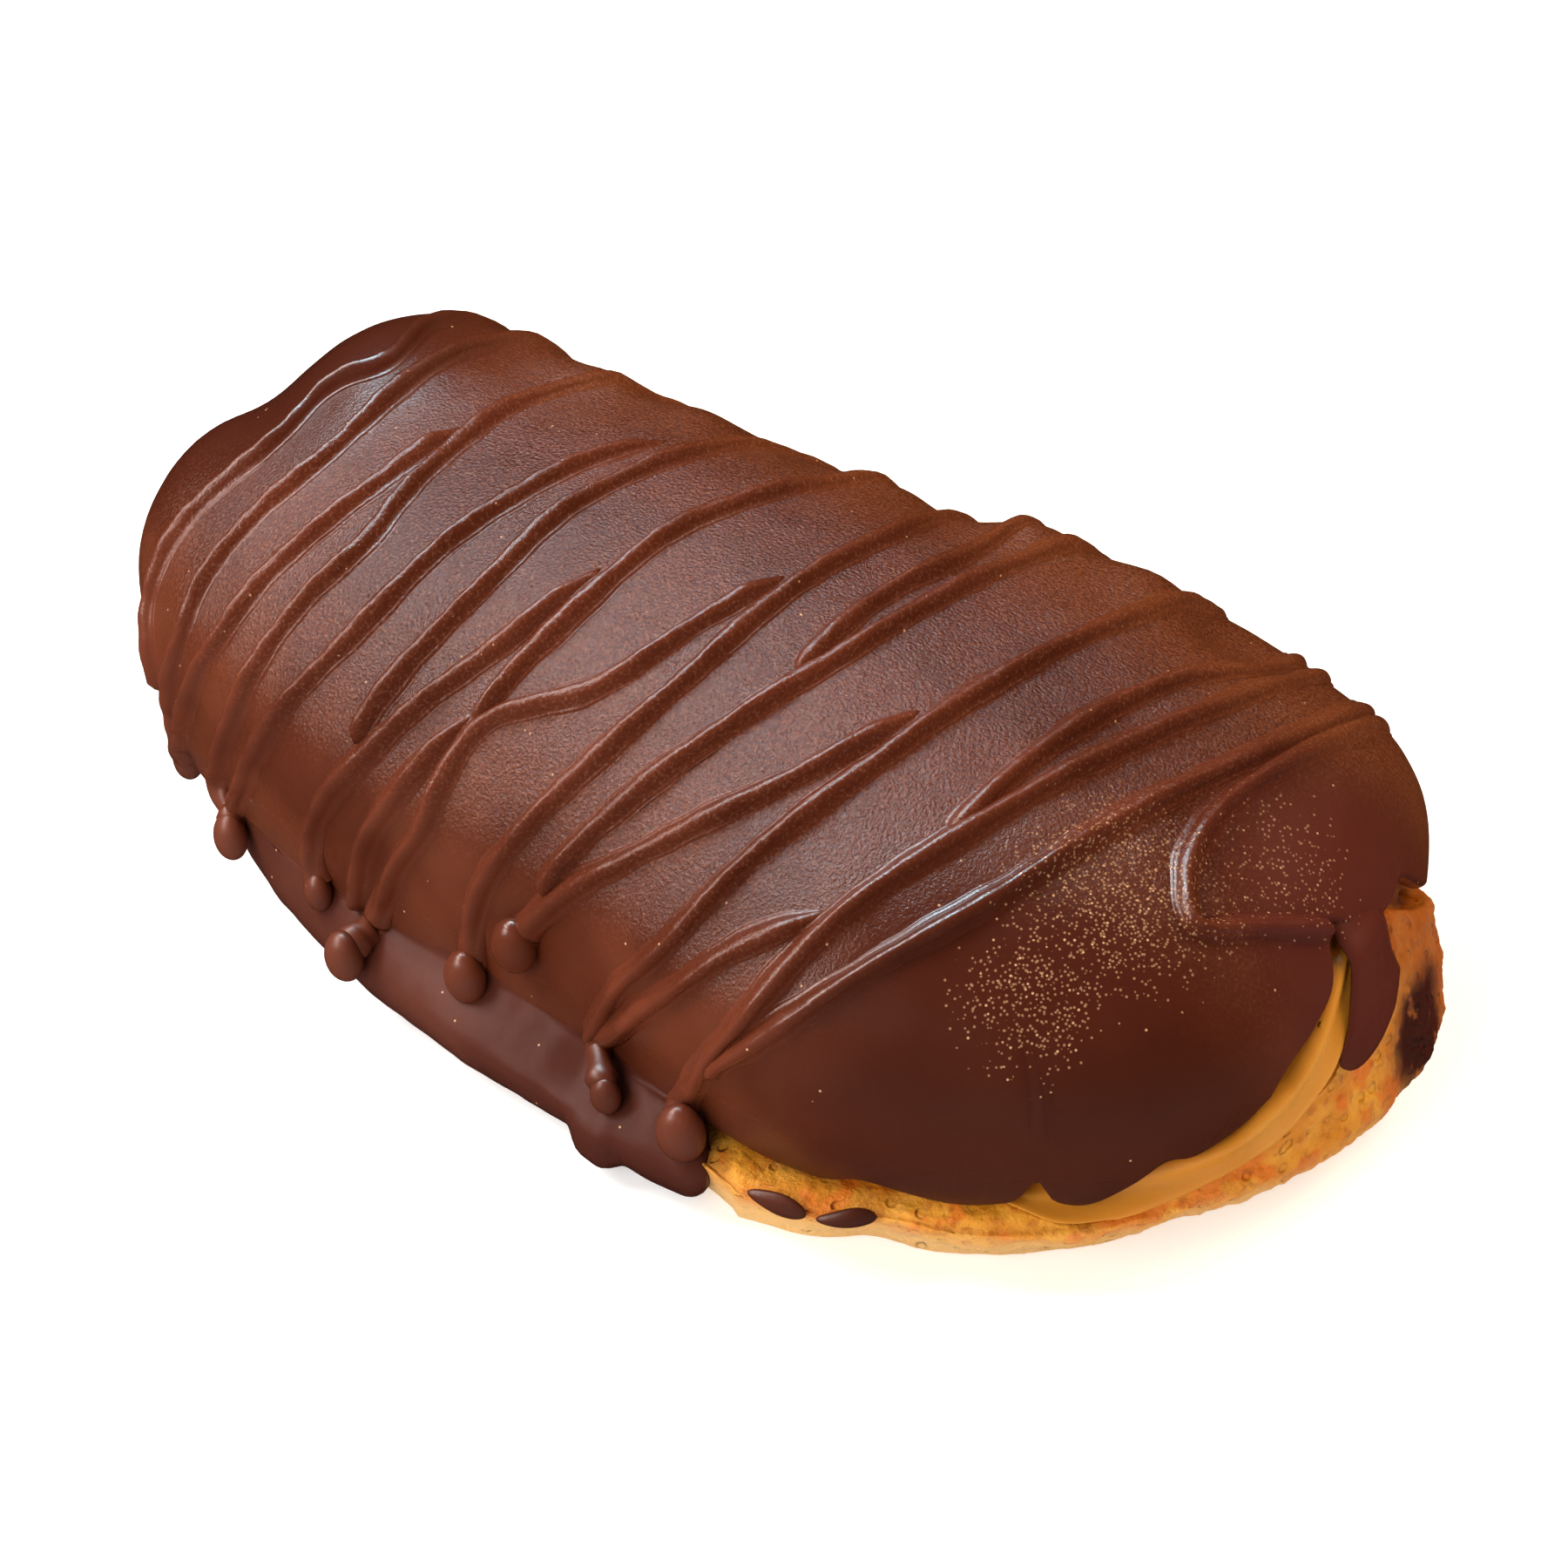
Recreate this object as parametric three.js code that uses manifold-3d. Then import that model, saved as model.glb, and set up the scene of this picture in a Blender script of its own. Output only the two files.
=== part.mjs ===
// A long choux bun filled with cream and coated in chocolate, lying on its flat base.
// Millimetres, +Z up, +X along the length towards the bare end, -Y the side seen first.
// Three solids: the bun, the cream in its pocket, and the coat with its piped lines.
import * as THREE from "three";
import { mergeVertices } from "three/addons/utils/BufferGeometryUtils.js";
import Module from "manifold-3d";

const wasm = await Module();
wasm.setup();

// ---- Driving dimensions ----

// The dome is the outer face of the coated upper half.
const DOME = {
  front: 62, back: 64.5, side: 33.4, // reach of the widest line from the middle
  frontPower: 2.52, backPower: 2.4, // squareness of the plan at each end
  widest: 17.7, crown: 41.2, // heights of the widest line and of the crown
  rim: 8.6, rimInset: 0.975, // the under-curve ends here, drawn in by this factor
};

// The foot is the outer face of the lower half.
const FOOT = { front: 63, back: 60, side: 37, frontPower: 2.22, backPower: 2.1 };
const FOOT_PROFILE = [[0.87, 0], [0.94, 2], [1, 6.2]]; // [share of reach, height]
// Swells of the foot: [bearing, reach in degrees, rise].
const FOOT_SWELLS = [[14, 15, 2.2], [-65, 9, 1.3], [-47, 8, 0.9], [-25, 8, -0.6]];
const SPREAD = 0.0024; // the plan grows wider by this share per mm towards +X

// Swellings and hollows of the dome: [x, y, reach, rise], x and y on the unrolled plan.
const SWELLS = [
  [-36, 8, 13, 6.7], [2, 24, 15, -4.5], [40, 18, 15, 1.1], [-48, -26, 12, 0.7], [0, -32, 18, -2],
  [30, -30, 15, 2.2], [52, -14, 12, 1.8], [-54, -13, 8, 1.4], [-53, -3, 7, 1.9], [-45, 4, 6, -1.3],
  [-33, 12, 5, 1.2], [-27, 14, 4, 1.2], [-21, 13, 5, 1.9], [-13, 13, 5, 1], [0, 13, 5, 0.9],
  [11, 13, 5, 2], [20, 13, 5, 1], [44, 16, 9, 1.2],
];

// The coat stops short of the bare end: its lower edge climbs from the rim to CUT.climb.
const COAT = 1.6; // thickness
const GAP = 0.3; // clearance between touching solids
const CUT = { at: 2.6, width: 26.7, climb: 106 }; // degrees round the plan, and of the dome's arc
const EDGE_WAVE = 2.5; // waviness of the coat's edge, degrees of the dome's arc

// The skirt is the coat over the lower half, from SKIRT.from clockwise to SKIRT.to.
const SKIRT = { from: -56, to: -305, thickness: 1.5, margin: 8 }; // margin: degrees of bare groove
const SKIRT_SHOULDER = { share: 0.975, height: 8 };
const RIM_STEP = 0.7; // the bun keeps this far inside the coat's rim, all round
const SKIRT_STEP = 3; // and this much further where the skirt covers it

// The pocket opens at the wall between these bearings and closes elsewhere.
const POCKET = { from: -32, to: 6, tallest: 6, floor: 9.5, roof: 14, share: 0.78 };

// Piped lines: width, height over the coat, depth into it, share of the height left on the
// far side, length of a step.
const LINE = { width: 2.3, height: 1.15, depth: 0.8, far: 0.5, step: 6 };

// Each line's route on the unrolled plan, from the near rim over the crown.
const ROUTES = [
  [
    [-56.5, -25], [-50.5, -19], [-45.5, -15], [-40.5, -10], [-35.5, -5],
    [-33.5, 0], [-30.5, 3], [-31.5, 8], [-31.5, 14],
  ],
  [
    [-60, -29], [-54, -26.8], [-48.2, -25.2], [-41.8, -22.2], [-36.8, -17],
    [-32.6, -11], [-29.5, -6], [-28, 2], [-27.5, 14],
  ],
  [
    [-60.5, -29.8], [-53, -28], [-43.4, -26.4], [-38, -23.6], [-33.2, -20.5],
    [-29.3, -16], [-25.5, -11], [-23.3, -6], [-21.8, 1],
  ],
  [
    [-50, -36.5], [-47.6, -32.4], [-41, -30], [-34, -26.6], [-29, -22.3],
    [-24.6, -17], [-21.3, -11.5], [-20.8, -7], [-20.8, 6], [-19.3, 14],
  ],
  [
    [-48.5, -37], [-45.4, -34], [-38.5, -31.7], [-32, -28.8], [-25, -24],
    [-18.8, -17.4], [-15.2, -9.2], [-12.4, 0], [-10.4, 6],
  ],
  [[-17.8, -25], [-14.4, -19], [-11.2, -12], [-10.2, -5], [-8.3, 4], [-7.3, 13]],
  [[-32, -39.5], [-28.6, -34.6], [-23.4, -31], [-16.8, -25.6], [-12, -20.2], [-7.7, -14], [-5.2, -7]],
  [[-7.4, -20], [-6.3, -16], [-4.6, -10], [-3.3, -2], [-1.3, 5], [-0.3, 13]],
  [
    [-23, -41], [-21, -38.6], [-15.8, -34], [-10.9, -29], [-8.8, -24],
    [-6.6, -19.3], [-0.3, -13.8], [2.6, -7], [4.1, -2],
  ],
  [[-26.2, -41], [-23.8, -37.5], [-18.4, -32.4], [-14.6, -28.6], [-11, -24], [-7.8, -19]],
  [
    [-7.6, -40], [-6.6, -35.5], [-4.3, -30.3], [-1.6, -25.3], [2, -17.6],
    [4.1, -11], [4.9, -4], [5.9, 5], [5.6, 14],
  ],
  [[9.2, -8], [9.2, -1], [10, 5], [10, 14]],
  [[1.2, -29.5], [2.4, -26], [5.5, -19], [8.6, -11.5], [10.6, -5], [12, 4], [13.5, 14]],
  [[-0.4, -34.4], [2, -30.3], [4.8, -26.2], [7.5, -23], [10.5, -18.8], [14, -13], [16.5, -6]],
  [[8.8, -41], [11.2, -33], [13.5, -27], [15, -19], [17, -10], [18, -3], [20, 7], [21.5, 14]],
  [[10.2, -40], [15.3, -31.3], [18.4, -24.3], [21.8, -19.3]],
  [[23.3, -42], [22.2, -36], [22.4, -29], [22.5, -19], [24.5, -10], [26.5, -2], [29, 6], [31.5, 15]],
  [[23.8, -12], [23.5, -8], [23.8, -2], [25.5, 5], [29, 13]],
  [[22.7, -34.2], [24.4, -29.2], [26.5, -21.6], [28.8, -14], [30.5, -5], [33.5, 5], [36.5, 15]],
  [[49.5, 0.5], [44.3, -4], [40.4, -7.2], [36.4, -4.6], [34.8, 0], [36, 8], [38.5, 16]],
];
const CREST = 12; // a route that passes this y runs on down the far side
const FAR_SIDE = [[1.5, 21], [2, 29], [3.5, 37]]; // by these steps of x, at these y

// Thick ends of lines at the near rim and on the skirt: [x, y, z, radius].
const BEADS = [
  [-50.8, -19.6, 6.4, 2.4], [-38.4, -27.3, 7.4, 2.4], [-27.5, -29.8, 10.4, 2.2], [-18.8, -34.2, 7.4, 2.5],
  [-6.2, -32.6, 10.2, 2.6], [-0.5, -32.6, 16.3, 2.7], [12.2, -36.4, 8.8, 2.2], [20.4, -36.7, 9.2, 2.8],
];
const BEAD_HEIGHT = 0.62; // share of its radius

// The drip hangs down the bare wall: [bearing, share of the way down, half width].
const DRIP = [[2.5, 0, 2.4], [2.5, 0.2, 2.5], [2, 0.42, 3.3], [0.5, 0.62, 3], [-1, 0.85, 2.4], [-2, 1, 1.2]];
const DRIP_END = 13; // height of its tip
const DRIP_HALF = 0.75; // half its thickness

// The puddle at the foot of the near side.
const PUDDLE = { x: 11.2, y: -36, length: 3.4, width: 1.7, height: 1.4 };

const COLUMNS = 48; // round the plan
const ARC_ROWS = [0, 0.07, 0.15, 0.23, 0.31, 0.39, 0.47, 0.55, 0.65, 0.78, 0.92, 1];
const INNER_ROWS = [0.9, 0.72, 0.54, 0.36, 0.18, 0]; // of the coat's inside, and of the bun under it

const DEG = Math.PI / 180;
const mix = THREE.MathUtils.lerp;
const smooth = THREE.MathUtils.smoothstep;

const CENTRE = { x: -0.17, y: -0.54 }; // middle of the bounds, which is moved to the origin

// ---- The shared surface ----

// Distance from the middle to a plan outline, at a bearing.
function reach(plan, phi) {
  const ahead = Math.cos(phi) > 0;
  const power = ahead ? plan.frontPower : plan.backPower;
  const along = Math.abs(Math.cos(phi)) / (ahead ? plan.front : plan.back);
  const across = Math.abs(Math.sin(phi)) / plan.side;
  return (along ** power + across ** power) ** (-1 / power);
}

function planPoint(plan, phi, share, z) {
  const r = reach(plan, phi) * share;
  const x = r * Math.cos(phi);
  return new THREE.Vector3(x, r * Math.sin(phi) * (1 + SPREAD * x), z);
}

// A point on the outline of the foot, with its swells.
function foot(phi, share, z) {
  let rise = 0;
  for (const [at, width, height] of FOOT_SWELLS) {
    rise += height * Math.exp(-((turnFrom(phi, at) / width) ** 2));
  }
  return pushOut(planPoint(FOOT, phi, share, z), rise);
}

// Theta is 90 degrees at the crown, 0 on the widest line and -90 at the rim.
function plainDome(phi, theta) {
  const above = theta >= 0;
  const share = above ? Math.cos(theta) : mix(DOME.rimInset, 1, Math.cos(theta));
  const height = above ? DOME.crown - DOME.widest : DOME.widest - DOME.rim;
  return planPoint(DOME, phi, share, DOME.widest + height * Math.sin(theta));
}

function outward(p) {
  const rise = (p.z - DOME.widest) / (DOME.crown - DOME.widest) ** 2;
  return new THREE.Vector3(p.x / DOME.front ** 2, p.y / DOME.side ** 2, rise).normalize();
}

// The unrolled plan: the widest line lies at its outline, the rim at UNDER beyond it.
const UNDER = 0.3;
function unroll(x, y) {
  const phi = Math.atan2(y, x);
  const share = Math.hypot(x, y) / reach(DOME, phi);
  const turn = share <= 1 ? 1 - share : (1 - share) / UNDER;
  return [phi, Math.max(turn, -1) * 90 * DEG];
}

const swells = SWELLS.map(([x, y, reach, rise]) => ({ at: plainDome(...unroll(x, y)), reach, rise }));

function dome(phi, theta, lift = 0) {
  const p = plainDome(phi, theta);
  let rise = lift;
  for (const s of swells) rise += s.rise * Math.exp(-p.distanceToSquared(s.at) / s.reach ** 2);
  return p.addScaledVector(outward(p), rise);
}

const onDome = (x, y, lift) => dome(...unroll(x, y), lift);

// Bearings spaced by the plan's outline, so that ends and sides get like steps.
function bearing(share) {
  const t = share * 2 * Math.PI;
  return Math.atan2(DOME.side * Math.sin(t), DOME.front * Math.cos(t));
}

const turnFrom = (phi, at) => THREE.MathUtils.euclideanModulo(phi / DEG - at + 180, 360) - 180;

function edgeTheta(phi) {
  const climb = CUT.climb * Math.exp(-((turnFrom(phi, CUT.at) / CUT.width) ** 2));
  const wave = EDGE_WAVE * Math.sin(9 * phi) * Math.min(1, climb / 20);
  return (climb + wave - 90) * DEG;
}

// Degrees clockwise from the skirt's near end.
const behindSkirtEnd = (phi) => THREE.MathUtils.euclideanModulo(SKIRT.from - phi / DEG, 360);

// 1 where the lower half is drawn in under the skirt, and for SKIRT.margin past its ends, else 0.
function skirtCover(phi) {
  const behind = (behindSkirtEnd(phi) + SKIRT.margin) % 360;
  return behind < SKIRT.from - SKIRT.to + 2 * SKIRT.margin ? 1 : 0;
}

// ---- Closed meshes ----

// A solid through rings of equal length, capped in zigzag at both ends.
function loft(rings) {
  const n = rings[0].length;
  const index = [];
  for (let r = 0; r + 1 < rings.length; r++) {
    for (let i = 0; i < n; i++) {
      const [a, b] = [r * n + i, r * n + ((i + 1) % n)];
      index.push(a, b, b + n, a, b + n, a + n);
    }
  }
  const last = (rings.length - 1) * n;
  for (let i = 0, j = n - 1; j - i > 1; j--) {
    index.push(i, j, i + 1, last + i, last + i + 1, last + j);
    i++;
    if (j - i > 1) index.push(i, j, j - 1, last + i, last + j - 1, last + j);
  }
  const geometry = new THREE.BufferGeometry().setFromPoints(rings.flat());
  geometry.setIndex(index);
  return solid(geometry);
}

// A manifold solid from a closed geometry, with repeated points joined and faces out.
function solid(geometry) {
  for (const name of ["normal", "uv"]) geometry.deleteAttribute(name);
  const merged = mergeVertices(geometry, 1e-4);
  const source = merged.index.array;
  const corner = (i) => new THREE.Vector3().fromBufferAttribute(merged.attributes.position, i);
  const faces = [];
  let volume = 0;
  for (let i = 0; i < source.length; i += 3) {
    const [a, b, c] = source.slice(i, i + 3);
    if (a === b || b === c || c === a) continue;
    faces.push([a, b, c]);
    volume += corner(a).dot(corner(b).cross(corner(c)));
  }
  const triVerts = new Uint32Array((volume > 0 ? faces : faces.map((f) => f.reverse())).flat());
  const vertProperties = new Float32Array(merged.attributes.position.array);
  return new wasm.Manifold(new wasm.Mesh({ numProp: 3, vertProperties, triVerts }));
}

function meshOf(name, manifold, material) {
  const { vertProperties, triVerts, numProp } = manifold.getMesh();
  const positions = new Float32Array((vertProperties.length / numProp) * 3);
  for (let i = 0; i < positions.length; i++) {
    positions[i] = vertProperties[Math.floor(i / 3) * numProp + (i % 3)];
  }
  const geometry = new THREE.BufferGeometry();
  geometry.setAttribute("position", new THREE.BufferAttribute(positions, 3));
  geometry.setIndex(new THREE.BufferAttribute(new Uint32Array(triVerts), 1));
  geometry.translate(-CENTRE.x, -CENTRE.y, 0);
  geometry.computeVertexNormals();
  const mesh = new THREE.Mesh(geometry, material);
  mesh.name = name;
  return mesh;
}

const ringOf = (pointAt) => Array.from({ length: COLUMNS }, (_, i) => pointAt(bearing(i / COLUMNS)));
const pushOut = (p, by) => p.addScaledVector(new THREE.Vector3(p.x, p.y, 0).normalize(), by);

// ---- The bun ----

// The lowest height that the coat's edge reaches at a bearing.
function edgeFloor(phi) {
  const theta = edgeTheta(phi);
  return Math.min(dome(phi, theta).z, dome(phi, theta, -COAT).z);
}

// The bun's outer wall: foot, bulge, then up to just under the coat's edge.
function wallRows(phi) {
  const cover = skirtCover(phi);
  const inset = -cover * (SKIRT.thickness + GAP);
  const floor = edgeFloor(phi);
  const rows = FOOT_PROFILE.map(([share, z]) => pushOut(foot(phi, share, z), inset));
  const bulge = rows.at(-1);
  const low = pushOut(foot(phi, 0.955, 0), 1.25 * inset);
  const high = pushOut(dome(phi, edgeTheta(phi)), 0.5);
  const top = low.lerp(high, smooth(floor, DOME.rim + 1, DOME.rim + 7)).setZ(floor - 0.6 - cover);
  const middle = bulge.clone().lerp(top, 0.3 + 0.2 * cover).setZ(mix(bulge.z, top.z, 0.55));
  rows.push(middle, top);
  return rows;
}

// Blunt crags of the baked crust, where it is bare.
function crag(p, phi) {
  const bare = 1 - skirtCover(phi);
  const coarse = Math.sin(11 * phi + 0.9 * p.z + 1.3) * Math.sin(7 * phi - 0.7 * p.z + 0.5);
  const fine = Math.sin(19 * phi - 1.1 * p.z + 2.1) * Math.sin(5 * phi + 1.7 * p.z);
  return pushOut(p, bare * Math.min(1, p.z / 2) * (0.25 * coarse + 0.2 * fine - 0.2));
}

function bun() {
  const under = -(COAT + GAP + 0.1);
  const rings = [ringOf(() => new THREE.Vector3(0, 0, 0))];
  for (let row = 0; row < FOOT_PROFILE.length + 2; row++) {
    rings.push(ringOf((phi) => crag(wallRows(phi)[row], phi)));
  }
  rings.push(ringOf((phi) => {
    const corner = dome(phi, edgeTheta(phi), -COAT);
    return pushOut(corner, -RIM_STEP - SKIRT_STEP * skirtCover(phi)).setZ(edgeFloor(phi) - GAP - 0.05);
  }));
  for (const share of INNER_ROWS) {
    rings.push(ringOf((phi) => dome(phi, mix(90 * DEG, edgeTheta(phi), share), under)));
  }
  return loft(rings).subtract(cream(GAP + 0.1));
}

// ---- The cream ----

// The open share of the pocket: 1 in the middle of the opening, 0 where it is closed.
function opening(phi) {
  const turn = turnFrom(phi, 0);
  return smooth(turn, POCKET.from, -14) * (1 - smooth(turn, -8, POCKET.to));
}

// One layer through the bun. A grow of GAP gives the cutter, which also leaves the wall.
function cream(grow) {
  const edgeOf = (phi, upper) => {
    const open = opening(phi);
    const rows = wallRows(phi);
    const roof = edgeFloor(phi) - GAP - 0.15;
    const inside = planPoint(DOME, phi, POCKET.share, upper ? POCKET.roof - 1.5 : POCKET.floor + 1.5);
    const floor = roof - POCKET.tallest * open;
    const wall = rows.at(-1).clone().lerp(rows.at(-2), upper ? 0 : 0.4).setZ(upper ? roof : floor);
    const p = inside.lerp(pushOut(wall, upper ? -0.9 : -0.1), smooth(open, 0.02, 0.25));
    p.z += upper ? grow : -grow;
    return pushOut(p, grow);
  };
  const mouth = (upper) => ringOf((phi) => {
    const reachOut = grow * 10 * smooth(opening(phi), 0, 0.2);
    return pushOut(edgeOf(phi, upper), reachOut);
  });
  const level = (share, upper) => ringOf((phi) => {
    const edge = edgeOf(phi, upper);
    const flat = upper ? POCKET.roof + grow : POCKET.floor - grow;
    return new THREE.Vector3(edge.x * share, edge.y * share, mix(flat, edge.z, smooth(share, 0.6, 1)));
  });
  return loft([
    level(0, false), level(0.6, false), level(0.85, false), level(1, false), mouth(false),
    mouth(true), level(1, true), level(0.85, true), level(0.6, true), level(0, true),
  ]);
}

// ---- The coat ----

function shell() {
  const arc = (share, lift) => ringOf((phi) => dome(phi, mix(90 * DEG, edgeTheta(phi), share), lift));
  const outer = ARC_ROWS.map((share) => arc(share, 0));
  const inner = INNER_ROWS.map((share) => arc(share, -COAT));
  return loft([...outer, arc(1, -COAT), ...inner]);
}

// A curved band from the table up into the shell's rim.
function skirt() {
  const bearings = Array.from({ length: COLUMNS }, (_, i) => bearing(i / COLUMNS))
    .filter((phi) => behindSkirtEnd(phi) > 3 && behindSkirtEnd(phi) < SKIRT.from - SKIRT.to - 3)
    .sort((a, b) => behindSkirtEnd(a) - behindSkirtEnd(b));
  const sections = [];
  for (const phi of [SKIRT.from * DEG, ...bearings, SKIRT.to * DEG]) {
    const shoulder = foot(phi, SKIRT_SHOULDER.share, SKIRT_SHOULDER.height);
    const under = dome(phi, -75 * DEG, -0.3);
    const outer = FOOT_PROFILE.map(([share, z]) => foot(phi, share, z));
    outer.push(shoulder, shoulder.clone().lerp(under, 0.55).setZ(under.z + 0.3));
    const inner = [0, 1, 2, 4].map((row) => pushOut(outer[row].clone(), -SKIRT.thickness));
    inner.at(-1).z -= 1;
    sections.push([
      ...outer, dome(phi, -60 * DEG, -0.5), dome(phi, -78 * DEG, -1.2), ...inner.reverse(),
    ]);
  }
  return loft(sections);
}

// A section that leans on the coat: flat below, rounded above.
const BEAM = [[-0.55, -1], [0.55, -1], [0.42, 0.4], [0, 1], [-0.42, 0.4]];

function line(route) {
  const points = [...route];
  const [farX, farY] = route.at(-1);
  if (farY > CREST) points.push(...FAR_SIDE.map(([dx, y]) => [farX + dx, y]));
  const curve = new THREE.CatmullRomCurve3(points.map(([x, y]) => new THREE.Vector3(x, y, 0)));
  const count = Math.ceil((curve.getLength() * 1.2) / LINE.step);
  const plan = curve.getSpacedPoints(count);
  const spine = plan.map((p) => onDome(p.x, p.y));
  return loft(spine.map((p, i) => {
    const ahead = spine[Math.min(i + 1, count)].clone().sub(spine[Math.max(i - 1, 0)]);
    const up = outward(p);
    const side = new THREE.Vector3().crossVectors(ahead, up).normalize();
    const height = LINE.height * mix(1, LINE.far, smooth(plan[i].y, 2, CREST));
    return BEAM.map(([s, h]) => p.clone()
      .addScaledVector(side, s * LINE.width)
      .addScaledVector(up, h * (h > 0 ? height : LINE.depth)));
  }));
}

// A flattened ball, its short axis along the coat's outward direction.
function bead(x, y, z, radius) {
  const centre = new THREE.Vector3(x, y, z);
  const geometry = new THREE.SphereGeometry(radius, 8, 5);
  geometry.rotateX(Math.PI / 2);
  geometry.scale(1, 1, BEAD_HEIGHT);
  const turn = new THREE.Quaternion().setFromUnitVectors(new THREE.Vector3(0, 0, 1), outward(centre));
  geometry.applyQuaternion(turn);
  geometry.translate(...centre);
  return solid(geometry);
}

// The drip starts inside the coat's edge and lies just off the wall.
function drip() {
  const sections = DRIP.map(([turn, down, half]) => {
    const phi = turn * DEG;
    const rows = wallRows(phi);
    const start = dome(phi, edgeTheta(phi) + 5 * DEG, -0.7);
    const z = mix(start.z, DRIP_END, down);
    const [top, middle] = [rows.at(-1), rows.at(-2)];
    const wall = middle.clone().lerp(top, (z - middle.z) / (top.z - middle.z)).setZ(z);
    const centre = start.lerp(pushOut(wall, GAP + 0.2 + DRIP_HALF), smooth(down, 0, 0.25)).setZ(z);
    const out = new THREE.Vector3(centre.x, centre.y, 0).normalize();
    const side = new THREE.Vector3(-out.y, out.x, 0);
    return Array.from({ length: 8 }, (_, k) => centre.clone()
      .addScaledVector(side, half * Math.cos(k * 45 * DEG))
      .addScaledVector(out, DRIP_HALF * Math.sin(k * 45 * DEG)));
  });
  return loft(sections);
}

function puddle() {
  const geometry = new THREE.SphereGeometry(1, 10, 6);
  geometry.rotateX(Math.PI / 2);
  geometry.scale(PUDDLE.length, PUDDLE.width, PUDDLE.height);
  geometry.translate(PUDDLE.x, PUDDLE.y, PUDDLE.height);
  return solid(geometry);
}

function coat() {
  const parts = [skirt(), drip(), puddle()];
  parts.push(...ROUTES.map((route) => line(route)));
  parts.push(...BEADS.map((each) => bead(...each)));
  const fused = parts.reduce((whole, part) => whole.add(part), shell());
  // Where lines meet they can close over a speck of air, which is filled.
  return fused.decompose().sort((a, b) => b.volume() - a.volume())[0];
}

// ---- Materials and the group ----

const crust = new THREE.MeshStandardMaterial({ color: 0xd4913c, roughness: 0.8, metalness: 0 });
const filling = new THREE.MeshStandardMaterial({ color: 0xd6a055, roughness: 0.55, metalness: 0 });
const chocolate = new THREE.MeshStandardMaterial({ color: 0x633426, roughness: 0.45, metalness: 0 });

const creamPuff = new THREE.Group();
creamPuff.add(meshOf("choux_bun", bun(), crust));
creamPuff.add(meshOf("cream_filling", cream(0), filling));
creamPuff.add(meshOf("chocolate_coat", coat(), chocolate));

export default creamPuff;
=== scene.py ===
# A chocolate cream puff: a long choux bun, filled with cream, dipped in chocolate and piped over.
# The sections follow its making. Their sizes are in millimetres, and meshes are made in metres.
import math

import bpy
import numpy as np
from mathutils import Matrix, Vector


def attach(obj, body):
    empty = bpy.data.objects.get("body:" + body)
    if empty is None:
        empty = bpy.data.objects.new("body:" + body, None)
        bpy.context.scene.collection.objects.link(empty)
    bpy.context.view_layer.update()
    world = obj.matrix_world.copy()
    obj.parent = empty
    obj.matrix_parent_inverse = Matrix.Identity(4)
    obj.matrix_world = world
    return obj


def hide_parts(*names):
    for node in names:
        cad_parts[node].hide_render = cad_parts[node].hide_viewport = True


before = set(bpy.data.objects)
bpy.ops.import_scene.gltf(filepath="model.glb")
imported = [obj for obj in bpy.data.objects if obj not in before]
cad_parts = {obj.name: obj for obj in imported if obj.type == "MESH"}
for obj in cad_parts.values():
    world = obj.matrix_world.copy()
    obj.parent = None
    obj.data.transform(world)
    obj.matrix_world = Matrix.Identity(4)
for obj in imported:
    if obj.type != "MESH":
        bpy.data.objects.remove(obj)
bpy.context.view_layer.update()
MM = 0.001

# ---- The table, the light and the camera ----
# A white table by a tall window of four panes, high up and to the left. The panes and the warm
# ceiling are seen only in the chocolate's shine, and three broad lamps light all the rest. The
# camera looks down on the near right end.
scene = bpy.context.scene
scene.view_settings.view_transform = "Standard"


def aim(thing, target):
    thing.rotation_euler = (Vector(target) * MM - thing.location).to_track_quat("-Z", "Y").to_euler()


def soft_light(name, direction, distance, size, power, colour, target=(0, 0, 20)):
    place = (Vector(target) + Vector(direction).normalized() * distance) * MM
    bpy.ops.object.light_add(type="AREA", location=place)
    light = bpy.context.object
    light.name = name
    light.data.shape = "RECTANGLE"
    light.data.size, light.data.size_y = size[0] * MM, size[1] * MM
    light.data.energy = power
    light.data.color = colour
    aim(light, target)


bpy.ops.object.select_all(action="DESELECT")
bpy.ops.object.camera_add(location=Vector((202.61, -264.095, 261.28)) * MM)
camera = bpy.context.object
camera.name = "camera"
camera.data.sensor_width = 36
camera.data.lens = 106.98
camera.data.clip_start = 0.01
aim(camera, (4.07, -0.045, 16.211))
scene.camera = camera

PANES_AT, LAMPS_AT, LAMP_SIZE = 520, 650, (450, 300)
for name, direction, size, power, colour in [
    ("pane_1", (-0.44, 0.14, 0.88), (120, 200), 3.2, (0.60, 0.87, 1.0)),
    ("pane_2", (-0.62, -0.10, 0.78), (160, 120), 1.5, (1.0, 0.88, 0.84)),
    ("pane_3", (-0.68, -0.45, 0.58), (190, 110), 1.5, (1.0, 0.88, 0.82)),
    ("pane_4", (-0.57, -0.74, 0.36), (170, 110), 1.0, (1.0, 0.88, 0.82)),
    ("warm_ceiling", (-0.10, 0.35, 0.93), (260, 260), 0.45, (1.0, 0.66, 0.50)),
]:
    soft_light(name, direction, PANES_AT, size, power, colour)
    bpy.context.object.visible_diffuse = False
for name, direction, power, colour in [
    ("daylight", (-0.62, -0.30, 0.72), 5.6, (1.0, 0.97, 0.92)),
    ("warm_fill", (0.35, 0.65, 0.68), 4.0, (1.0, 0.80, 0.55)),
    ("front_fill", (0.0, -0.85, 0.5), 2.5, (1.0, 0.93, 0.86)),
]:
    soft_light(name, direction, LAMPS_AT, LAMP_SIZE, power, colour)
    bpy.context.object.visible_glossy = False

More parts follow.
